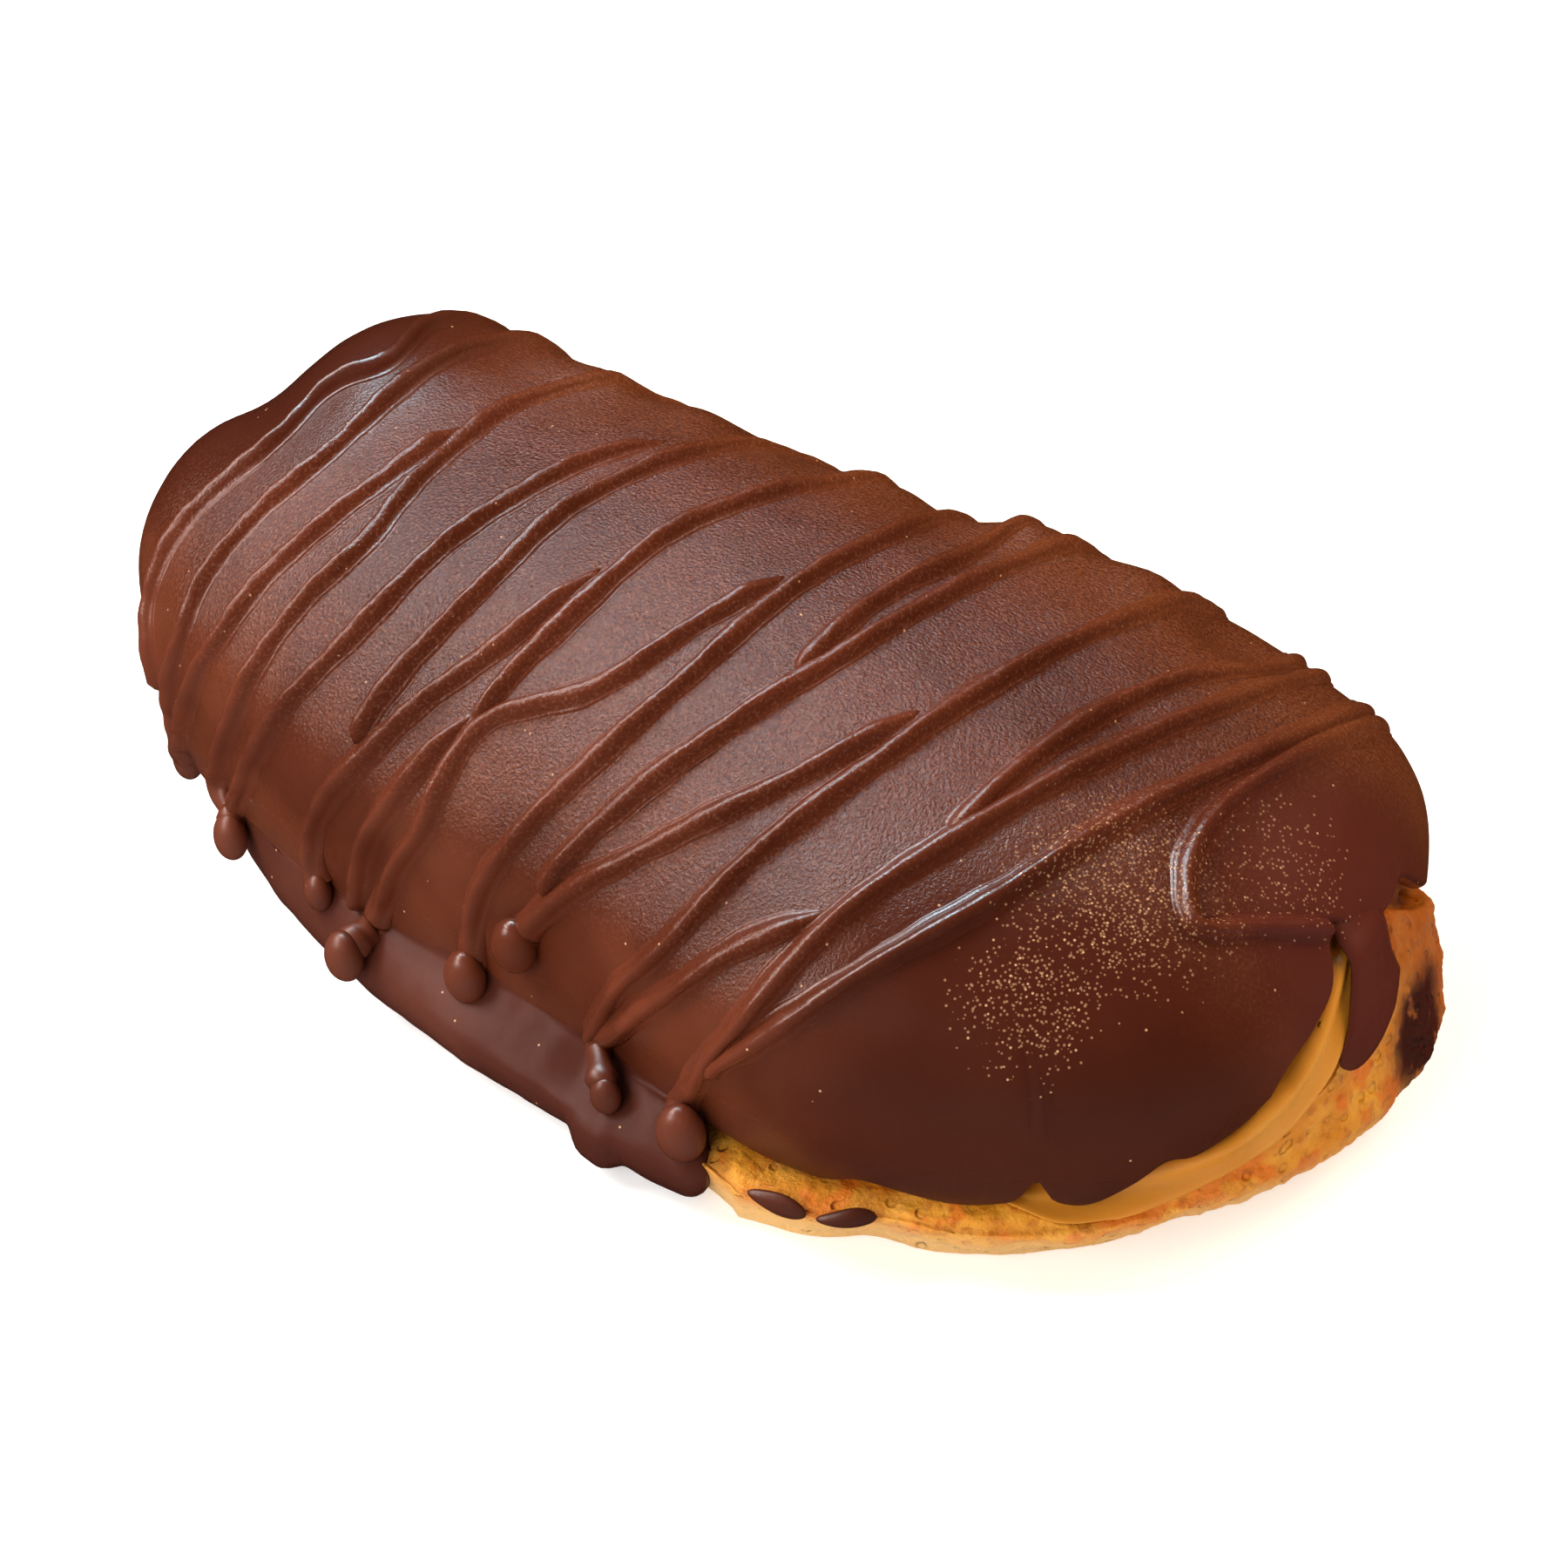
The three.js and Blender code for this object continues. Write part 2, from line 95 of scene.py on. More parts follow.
world = bpy.data.worlds.new("room")
scene.world = world
world.use_nodes = True
world.node_tree.nodes["Background"].inputs["Color"].default_value = (1.0, 0.985, 0.96, 1)
world.node_tree.nodes["Background"].inputs["Strength"].default_value = 0.28
world.cycles_visibility.glossy = False

bpy.ops.mesh.primitive_plane_add(size=4, location=(0, 0, -0.0002))
table = bpy.context.object
table.name = "table"
paper = bpy.data.materials.new("white_table")
paper.use_nodes = True
paper.node_tree.nodes["Principled BSDF"].inputs["Base Color"].default_value = (0.8, 0.8, 0.8, 1)
paper.node_tree.nodes["Principled BSDF"].inputs["Roughness"].default_value = 0.8
paper.node_tree.nodes["Principled BSDF"].inputs["Emission Color"].default_value = (1, 1, 1, 1)
paper.node_tree.nodes["Principled BSDF"].inputs["Emission Strength"].default_value = 0.5
table.data.materials.append(paper)
table.visible_glossy = False

# ---- The choux bun ----
# Choux paste piped as one long finger and baked: golden, porous and craggy where it is bare,
# smooth at its foot, with a paler peach tint there that is painted light thrown up from the
# table, and scorched at the far right end. It is slit for the cream.
CENTRE = np.array([-0.17, -0.54, 0.0])
DOME = {"front": 62, "back": 64.5, "side": 33.4, "front_power": 2.52, "back_power": 2.4}
WIDEST, CROWN, RIM, RIM_INSET = 17.7, 41.2, 8.6, 0.975
FOOT = {"front": 63, "back": 60, "side": 37, "front_power": 2.22, "back_power": 2.1}
FOOT_PROFILE = [(0.87, 0), (0.94, 2), (1, 6.2)]  # share of the plan outline at each height
FOOT_SWELLS = [  # bearing, reach and height
    (14, 15, 2.2), (-65, 9, 1.3), (-47, 8, 0.9), (-25, 8, -0.6), (-38, 4, -1.3), (-13, 7, -1.6), (-57, 5, 0.8),
]
SPREAD = 0.0024
SWELLS = [  # place on the unrolled plan, reach and height
    (-36, 8, 13, 6.7), (2, 24, 15, -4.5), (40, 18, 15, 1.1), (-48, -26, 12, 0.7), (0, -32, 18, -2),
    (30, -30, 15, 2.2), (52, -14, 12, 1.8), (-54, -13, 8, 1.4), (-53, -3, 7, 1.9), (-45, 4, 6, -1.3),
    (-33, 12, 5, 1.2), (-27, 14, 4, 1.2), (-21, 13, 5, 1.9), (-13, 13, 5, 1), (0, 13, 5, 0.9),
    (11, 13, 5, 2), (20, 13, 5, 1), (44, 16, 9, 1.2),
    (24.5, 13.5, 4, -1), (28.5, 14.5, 4, -1), (-18.5, 14.5, 3, -0.7), (-10, 14.7, 4.5, -0.9), (53, 12.5, 8, -1.1),
    (-51, -15, 5, -0.8), (-46, -2, 4, 0.7), (-29, 13, 4, 0.9), (18, 14.5, 4, 0.7), (2, 13.5, 3.5, 0.6),
]
COAT, GAP = 1.6, 0.3
SKIRT_FROM, SKIRT_TO, SKIRT_THICK = -56, -305, 1.5
UNDER_SKIRT = 0.9  # how much further the bun is drawn in where the skirt covers it
CUT_AT, CUT_WIDTH, CUT_CLIMB = 2.6, 26.7, 106  # where the coat's edge climbs at the bare end


def mix(a, b, share):
    return a + (b - a) * share


def smooth(value, low, high):
    share = np.clip((value - low) / (high - low), 0, 1)
    return share * share * (3 - 2 * share)


def reach(plan, phi):
    """Distance from the middle to a plan outline, at a bearing."""
    ahead = np.cos(phi) > 0
    power = np.where(ahead, plan["front_power"], plan["back_power"])
    along = np.abs(np.cos(phi)) / np.where(ahead, plan["front"], plan["back"])
    across = np.abs(np.sin(phi)) / plan["side"]
    return (along**power + across**power) ** (-1 / power)


def plan_point(plan, phi, share, z):
    r = reach(plan, phi) * share
    x = r * np.cos(phi)
    return np.stack(np.broadcast_arrays(x, r * np.sin(phi) * (1 + SPREAD * x), z), -1)


def push_out(p, by):
    flat = p * [1, 1, 0]
    size = np.linalg.norm(flat, axis=-1, keepdims=True)
    return p + flat / np.maximum(size, 1e-9) * np.asarray(by)[..., None]


def turn_from(phi, at):
    return np.mod(np.degrees(phi) - at + 180, 360) - 180


def foot(phi, share, z):
    rise = sum(h * np.exp(-((turn_from(phi, at) / width) ** 2)) for at, width, h in FOOT_SWELLS)
    return push_out(plan_point(FOOT, phi, share, z), rise)


def plain_dome(phi, theta):
    above = theta >= 0
    share = np.where(above, np.cos(theta), mix(RIM_INSET, 1, np.cos(theta)))
    height = np.where(above, CROWN - WIDEST, WIDEST - RIM)
    return plan_point(DOME, phi, share, WIDEST + height * np.sin(theta))


def outward(p):
    scale = [DOME["front"] ** -2, DOME["side"] ** -2, (CROWN - WIDEST) ** -2]
    normal = (p - [0, 0, WIDEST]) * scale
    return normal / np.linalg.norm(normal, axis=-1, keepdims=True)


def unroll(x, y):
    """Bearing and height on the dome of a point of the unrolled plan."""
    phi = np.arctan2(y, x)
    share = np.hypot(x, y) / reach(DOME, phi)
    turn = np.where(share <= 1, 1 - share, (1 - share) / 0.3)
    return phi, np.maximum(turn, -1) * math.pi / 2


def dome(phi, theta, lift=0.0):
    """The outer face of the coated upper half, which swells and sinks as it baked."""
    p = plain_dome(phi, theta)
    rise = np.zeros(p.shape[:-1]) + lift
    for x, y, spread, height in SWELLS:
        at = plain_dome(*unroll(np.float64(x), np.float64(y)))
        rise = rise + height * np.exp(-((p - at) ** 2).sum(-1) / spread**2)
    return p + outward(p) * rise[..., None]


def edge_height(phi):
    """Where the coat stops, as degrees of the dome's arc: -90 at the rim, 0 on the widest line."""
    climb = CUT_CLIMB * np.exp(-((turn_from(phi, CUT_AT) / CUT_WIDTH) ** 2))
    return climb + 2.5 * np.sin(9 * phi) * np.minimum(1, climb / 20) - 90


def edge_floor(phi):
    theta = np.radians(edge_height(phi))
    return np.minimum(dome(phi, theta)[..., 2], dome(phi, theta, -COAT)[..., 2])


def behind_skirt_end(phi):
    return np.mod(SKIRT_FROM - np.degrees(phi), 360)


def skirt_cover(phi):
    """1 where the lower half is drawn in under the skirt, 0 where it is bare."""
    behind = np.mod(behind_skirt_end(phi) + 3, 360)
    span = SKIRT_FROM - SKIRT_TO + 6
    return smooth(np.minimum(behind, span - behind), -2, 5)


def wall_rows(phi):
    """The bun's outer wall, from the table up to just under the coat's edge."""
    cover = skirt_cover(phi)
    inset = -cover * (SKIRT_THICK + GAP + UNDER_SKIRT)
    floor = edge_floor(phi)
    rows = [push_out(foot(phi, share, z), inset) for share, z in FOOT_PROFILE]
    low = push_out(foot(phi, 0.955, 0), 1.25 * inset)
    high = push_out(dome(phi, np.radians(edge_height(phi))), 0.5)
    top = mix(low, high, smooth(floor, RIM + 1, RIM + 7)[..., None])
    top[..., 2] = floor - 0.6 - cover
    middle = mix(rows[-1], top, (0.3 + 0.2 * cover)[..., None])
    middle[..., 2] = mix(rows[-1][..., 2], top[..., 2], 0.55)
    return rows + [middle, top]


def through(rows, at):
    """A smooth curve through rows of points: at is 0 on the first and 1 on the last."""
    rows = np.stack(rows)
    last = len(rows) - 1
    step = np.clip(at * last, 0, last - 1e-6)
    k = step.astype(int)
    t = (step - k)[:, None]
    each = np.arange(len(at))
    a, b, c, d = (rows[np.clip(k + n, 0, last), each] for n in (-1, 0, 1, 2))
    return b + 0.5 * t * (c - a + t * (2 * a - 5 * b + 4 * c - d + t * (3 * (b - c) + d - a)))


def closed_skin(name, around, along, place):
    """A closed skin from a grid sheet: place(turn, run) rolls it up, run being 0 and 1 at its poles."""
    bpy.ops.object.select_all(action="DESELECT")
    bpy.ops.mesh.primitive_grid_add(x_subdivisions=around, y_subdivisions=along, size=1)
    piece = bpy.context.object
    piece.name = piece.data.name = name
    co = np.empty(len(piece.data.vertices) * 3)
    piece.data.vertices.foreach_get("co", co)
    co = co.reshape(-1, 3)
    turn = np.mod(np.round((co[:, 0] + 0.5) * around), around) / around
    run = np.round((co[:, 1] + 0.5) * along) / along
    turn[(run == 0) | (run == 1)] = 0
    points = (place(turn, run) - CENTRE) * MM
    piece.data.vertices.foreach_set("co", points.ravel())
    loops = np.empty(len(piece.data.loops), int)
    piece.data.loops.foreach_get("vertex_index", loops)
    first = np.empty(len(piece.data.polygons), int)
    piece.data.polygons.foreach_get("loop_start", first)
    a, b, c = (points[loops[first + n]] for n in (0, 1, 2))
    if (a * np.cross(b, c)).sum() < 0:
        piece.data.flip_normals()
    piece.data.update()
    bpy.ops.object.mode_set(mode="EDIT")
    bpy.ops.mesh.select_all(action="SELECT")
    bpy.ops.mesh.remove_doubles(threshold=1e-7)
    bpy.ops.object.mode_set(mode="OBJECT")
    bpy.ops.object.shade_smooth()
    return piece


def points_of(piece):
    co = np.empty(len(piece.data.vertices) * 3)
    piece.data.vertices.foreach_get("co", co)
    return co.reshape(-1, 3) / MM + CENTRE


def bearing(turn, crowd=0.0, at=0.0):
    """Bearings spaced by the plan's outline, closer together round the turn at."""
    t = math.tau * turn
    t = t - crowd * np.sin(t - at) - crowd * math.sin(at)
    return np.arctan2(DOME["side"] * np.sin(t), DOME["front"] * np.cos(t))


def bun_skin(turn, run):
    phi = bearing(turn, 0.45, math.radians(-20))
    edge = np.radians(edge_height(phi))
    under = -(COAT + GAP + 0.1)
    cover = skirt_cover(phi)
    shares = np.array([0, 0.3, 0.6, 0.85])[:, None]
    inner = list(dome(phi, mix(math.pi / 2, edge, shares), under))
    corner = push_out(dome(phi, edge, -COAT), -0.7 - 3 * cover)
    corner[:, 2] = edge_floor(phi) - GAP - 0.05
    rows = wall_rows(phi)
    inner += [corner, rows[4], mix(rows[4], rows[3], 0.5), rows[3], mix(rows[3], rows[2], 0.5)]
    outer = inner + [rows[2], rows[1], rows[0], rows[0] * [0.6, 0.6, 0], rows[0] * 0]
    knots = np.array([0, 0.07, 0.13, 0.17, 0.21, 0.27, 0.37, 0.47, 0.57, 0.68, 0.8, 0.88, 0.94, 1])
    at = np.interp(run, knots, np.linspace(0, 1, len(knots)))
    p = through(outer, at)
    p[:, 2] = np.maximum(p[:, 2], 0)
    return p


choux = closed_skin("choux_bun_crust", 560, 150, bun_skin)


def weigh(piece, name, weights):
    """A vertex group whose weights, in twentieths, say how far a modifier acts."""
    group = piece.vertex_groups.new(name=name)
    steps = np.round(np.clip(weights, 0, 1) * 20).astype(int)
    for step in range(1, 21):
        group.add(np.flatnonzero(steps == step).tolist(), step / 20, "REPLACE")


def rough_up(piece, name, kind, grain, depth, middle=0.5, group="", **settings):
    """Pushes the skin in and out by a cloud or cell pattern, grain and depth in millimetres."""
    pattern = bpy.data.textures.new(name, kind)
    pattern.noise_scale = grain * MM
    for key, value in settings.items():
        setattr(pattern, key, value)
    lumps = piece.modifiers.new(name, "DISPLACE")
    lumps.texture = pattern
    lumps.texture_coords = "LOCAL"
    lumps.strength = depth * MM
    lumps.mid_level = middle
    lumps.vertex_group = group
    bpy.context.view_layer.objects.active = piece
    bpy.ops.object.modifier_apply(modifier=name)


skin = points_of(choux)
skin_turn = np.arctan2(skin[:, 1], skin[:, 0])
bare = (1 - skirt_cover(skin_turn)) * smooth(skin[:, 2], 0.1, 1.5)
bare *= 1 - smooth(skin[:, 2] - edge_floor(skin_turn), 0.5, 2.5)
weigh(choux, "bare", bare)
rough_up(choux, "crags", "CLOUDS", 5.0, 1.2, 0.6, "bare", noise_depth=1)
rough_up(choux, "pores", "CLOUDS", 1.2, 0.5, 0.6, "bare", noise_depth=2)


CREAM_FLOOR = [  # bearing and height of the cream's lower edge
    (-31, 9), (-27, 8.0), (-23, 7.4), (-20, 7.4), (-16.5, 8.3), (-13, 9.6), (-10, 10.8),
    (-7.4, 12.3), (-5.8, 13.9), (-3.9, 15.3), (-1, 18), (4, 21),
]


def wall_at(rows, z):
    """The wall's points at the heights z, above its bulge."""
    low = np.clip((z - rows[2][:, 2]) / (rows[3][:, 2] - rows[2][:, 2]), 0, 1)[:, None]
    high = np.clip((z - rows[3][:, 2]) / (rows[4][:, 2] - rows[3][:, 2]), 0, 1)[:, None]
    p = np.where((z > rows[3][:, 2])[:, None], mix(rows[3], rows[4], high), mix(rows[2], rows[3], low))
    p[:, 2] = z
    return p


def opening(phi):
    turn = turn_from(phi, 0)
    return smooth(turn, -31, -24) * (1 - smooth(turn, -1, 4))


def cream_body(grow, proud):
    """The layer of cream, grown all round by grow, with its bare face proud of the wall."""
    def place(turn, run):
        phi = bearing(turn, 0.45, math.radians(-10))
        open_share = opening(phi)
        rows = wall_rows(phi)
        roof = edge_floor(phi) - GAP - 0.15

        def edge_of(upper):
            inside = plan_point(DOME, phi, 0.78, 12.5 if upper else 11.0)
            low_z = np.interp(turn_from(phi, 0), *zip(*CREAM_FLOOR))
            wall = wall_at(rows, roof if upper else mix(roof, np.minimum(low_z, roof - 0.5), open_share))
            p = mix(inside, push_out(wall, -0.9 if upper else -0.1), smooth(open_share, 0.02, 0.25)[:, None])
            p[..., 2] += grow if upper else -grow
            return push_out(p, grow + proud * 10 * smooth(open_share, 0, 0.2))

        low, high = edge_of(False), edge_of(True)
        bulge = push_out(mix(low, high, 0.5), 0.45 * open_share)

        def level(edge, share, z):
            p = edge * share
            p[..., 2] = mix(z, edge[..., 2], smooth(np.float64(share), 0.6, 1))
            return p

        floor, roof_z = 9.5 - grow, 14 + grow
        shapes = [level(low, s, floor) for s in (0, 0.6, 0.85)] + [low, bulge, high]
        shapes += [level(high, s, roof_z) for s in (0.85, 0.6, 0)]
        knots = np.array([0, 0.1, 0.2, 0.32, 0.5, 0.68, 0.8, 0.9, 1])
        return through(shapes, np.interp(run, knots, np.linspace(0, 1, 9)))
    return place


cutter = closed_skin("pocket_cutter", 280, 50, cream_body(GAP, GAP))
slit = choux.modifiers.new("slit", "BOOLEAN")
slit.operation = "DIFFERENCE"
slit.solver = "MANIFOLD"
slit.object = cutter
bpy.context.view_layer.objects.active = choux
bpy.ops.object.modifier_apply(modifier="slit")
bpy.data.objects.remove(cutter)


def new_finish(name):
    material = bpy.data.materials.new(name)
    material.use_nodes = True
    return material, material.node_tree, material.node_tree.nodes["Principled BSDF"]


def add(tree, kind, *inputs, **settings):
    """A node with its settings, and its inputs in order, each a value, a socket or None."""
    node = tree.nodes.new("ShaderNode" + kind)
    for key, value in settings.items():
        setattr(node, key, value)
    sockets = [s for s in node.inputs if s.enabled]
    for socket, given in zip(sockets, inputs):
        if isinstance(given, bpy.types.NodeSocket):
            tree.links.new(given, socket)
        elif given is not None:
            socket.default_value = given
    return node


def shape_place(tree):
    return add(tree, "TexCoord").outputs["Object"]


def noise(tree, place, grain, detail=3.0, rough=0.5):
    node = add(tree, "TexNoise", noise_dimensions="3D")
    tree.links.new(place, node.inputs["Vector"])
    node.inputs["Scale"].default_value = 1 / (grain * MM)
    node.inputs["Detail"].default_value = detail
    node.inputs["Roughness"].default_value = rough
    return node.outputs["Fac"]


def ramp(tree, value, low, high, out_low=0.0, out_high=1.0):
    node = add(tree, "MapRange", value, low, high, out_low, out_high, interpolation_type="SMOOTHSTEP")
    return node.outputs["Result"]


def maths(tree, operation, a, b=None):
    return add(tree, "Math", a, b, operation=operation).outputs[0]


def blend(tree, share, a, b):
    node = add(tree, "Mix", data_type="RGBA")
    for socket, given in zip([node.inputs["Factor"], node.inputs[6], node.inputs[7]], [share, a, b]):
        if isinstance(given, bpy.types.NodeSocket):
            tree.links.new(given, socket)
        else:
            socket.default_value = given
    return node.outputs[2]


def near(tree, place, spot, inner, outer):
    """1 within inner of a spot of the bun, fading to 0 at outer."""
    away = add(tree, "VectorMath", place, tuple((np.array(spot) - CENTRE) * MM), operation="DISTANCE")
    return ramp(tree, away.outputs["Value"], inner * MM, outer * MM, 1.0, 0.0)


def rgb(red, green, blue):
    """A colour as it is seen on a screen, 0 to 255, for a shader."""
    def linear(v):
        v /= 255
        return v / 12.92 if v <= 0.04045 else ((v + 0.055) / 1.055) ** 2.4
    return (linear(red), linear(green), linear(blue), 1)


def emboss(tree, heights, shader):
    """Bumps in turn, each (height, depth in millimetres)."""
    normal = None
    for height, depth in heights:
        node = add(tree, "Bump")
        node.inputs["Strength"].default_value = 1
        node.inputs["Distance"].default_value = depth * MM
        tree.links.new(height, node.inputs["Height"])
        if normal:
            tree.links.new(normal, node.inputs["Normal"])
        normal = node.outputs["Normal"]
    tree.links.new(normal, shader.inputs["Normal"])


def specks(tree, place, spacing, size, amount):
    """Fine dots, one in each cell of a random pattern, where amount leaves them in."""
    cells = add(tree, "TexVoronoi", feature="F1")
    tree.links.new(place, cells.inputs["Vector"])
    cells.inputs["Scale"].default_value = 1 / (spacing * MM)
    dot = ramp(tree, cells.outputs["Distance"], size / spacing, 0.5 * size / spacing)
    chance = add(tree, "SeparateXYZ", cells.outputs["Color"]).outputs["X"]
    kept = maths(tree, "LESS_THAN", chance, amount)
    return maths(tree, "MULTIPLY", dot, kept)


crust, tree, shader = new_finish("baked_choux")
place = shape_place(tree)
patches = ramp(tree, noise(tree, place, 3.2, 2), 0.50, 0.62)
flecks = ramp(tree, noise(tree, place, 1.1, 4, 0.6), 0.50, 0.66)
height_up = add(tree, "SeparateXYZ", place).outputs["Z"]
far_round = add(tree, "SeparateXYZ", place).outputs["Y"]
colour = blend(tree, ramp(tree, noise(tree, place, 4, 3), 0.35, 0.65), rgb(216, 148, 42), rgb(204, 126, 18))
colour = blend(tree, maths(tree, "MULTIPLY", patches, 0.8), colour, rgb(206, 102, 3))
colour = blend(tree, maths(tree, "MULTIPLY", flecks, 0.5), colour, rgb(160, 80, 8))
# Painted light: the foot is made paler peach, standing in for light thrown up from the white table.
colour = blend(tree, ramp(tree, height_up, 0.0082, 0.0015), colour, rgb(220, 176, 112))
colour = blend(tree, maths(tree, "MULTIPLY", ramp(tree, far_round, 0.0, 0.012), 0.85), colour, rgb(148, 70, 6))
scorch = maths(
    tree, "MULTIPLY",
    near(tree, place, (62.3, 10.5, 10.5), 3.6, 7.0),
    ramp(tree, noise(tree, place, 2.5, 3), 0.30, 0.42),
)
colour = blend(tree, scorch, colour, rgb(66, 22, 10))
tree.links.new(colour, shader.inputs["Base Color"])
shader.inputs["Roughness"].default_value = 0.62
shader.inputs["Specular IOR Level"].default_value = 0.3
shader.inputs["Subsurface Weight"].default_value = 0.15
shader.inputs["Subsurface Radius"].default_value = (1.0, 0.45, 0.15)
shader.inputs["Subsurface Scale"].default_value = 0.0015
pits = specks(tree, place, 1.7, 0.62, 0.55)
emboss(tree, [(noise(tree, place, 1.1, 4, 0.6), 0.5), (maths(tree, "SUBTRACT", 1.0, pits), 0.3)], shader)
choux.data.materials.clear()
choux.data.materials.append(crust)
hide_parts("choux_bun")
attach(choux, "root")

# ---- The cream filling ----
# Pastry cream squeezed into the slit, where it sets with a smooth, slightly bulging face.
cream = closed_skin("cream_layer", 320, 60, cream_body(0.0, 0.0))
rough_up(cream, "cream_swell", "CLOUDS", 6.0, 0.4)
custard, tree, shader = new_finish("pastry_cream")
place = shape_place(tree)
colour = blend(tree, ramp(tree, noise(tree, place, 9, 2), 0.35, 0.65), rgb(202, 136, 46), rgb(190, 122, 30))
tree.links.new(colour, shader.inputs["Base Color"])
shader.inputs["Roughness"].default_value = 0.45
shader.inputs["Specular IOR Level"].default_value = 0.35
shader.inputs["Subsurface Weight"].default_value = 0.3
shader.inputs["Subsurface Radius"].default_value = (1.0, 0.6, 0.3)
shader.inputs["Subsurface Scale"].default_value = 0.002
emboss(tree, [(noise(tree, place, 2.5, 3), 0.12)], shader)
cream.data.materials.clear()
cream.data.materials.append(custard)
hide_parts("cream_filling")
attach(cream, "root")

# ---- The chocolate coat ----
# Melted chocolate run over the upper half, a thin shell with a rounded, wavy lower lip. It is
# matt and finely grained on the crown, smooth at the near right, and scattered with fine light
# specks that are painted glints.
EDGE_NOTCHES = [  # bearing, reach and rise in degrees of the dome's arc
    (-40, 3.5, 24), (-36, 4, 10), (-31.3, 2.2, -8), (-26, 0.9, 22), (-22.5, 2, -12), (-17.3, 1.6, 12),
    (-13, 3, 5), (-8, 3, 5), (0.3, 1.6, 4), (7, 2.5, -3), (14, 5, 7), (22, 5, 8),
]
LIP_FROM, LIP_TO = 0.68, 0.78  # the share of the skin's run that rolls round the coat's lower lip


def coat_edge(phi):
    turn = turn_from(phi, 0)
    ragged = sum(rise * np.exp(-(((turn - at) / width) ** 2)) for at, width, rise in EDGE_NOTCHES)
    fine = 0.8 * np.sin(41 * phi + 1) + 0.6 * np.sin(67 * phi)
    return np.maximum(edge_height(phi) + ragged + fine * smooth(edge_height(phi), -88, -70), -90)


def coat_skin(turn, run):
    phi = bearing(turn, 0.3, math.radians(-15))
    edge = np.radians(coat_edge(phi))
    lip = COAT / 2
    theta = mix(math.pi / 2, edge, np.clip(run / LIP_FROM, 0, 1) ** 0.92)
    back = np.clip((1 - run) / (1 - LIP_TO), 0, 1)
    theta = np.where(run > LIP_TO, mix(math.pi / 2, edge, back), theta)
    curl = np.clip((run - LIP_FROM) / (LIP_TO - LIP_FROM), 0, 1) * math.pi
    lift = -lip + lip * np.cos(curl)
    down = dome(phi, np.maximum(edge, -1.5)) - dome(phi, np.maximum(edge, -1.5) + 0.02)
    down /= np.linalg.norm(down, axis=-1, keepdims=True)
    return dome(phi, theta, lift) + down * (lip * np.sin(curl) * 0.8)[:, None]


coat = closed_skin("chocolate_shell", 440, 150, coat_skin)
rough_up(coat, "poured", "CLOUDS", 13.0, 0.5)


def mix_value(tree, share, a, b):
    node = add(tree, "Mix", data_type="FLOAT")
    tree.links.new(share, node.inputs["Factor"])
    node.inputs[2].default_value = a
    node.inputs[3].default_value = b
    return node.outputs[0]


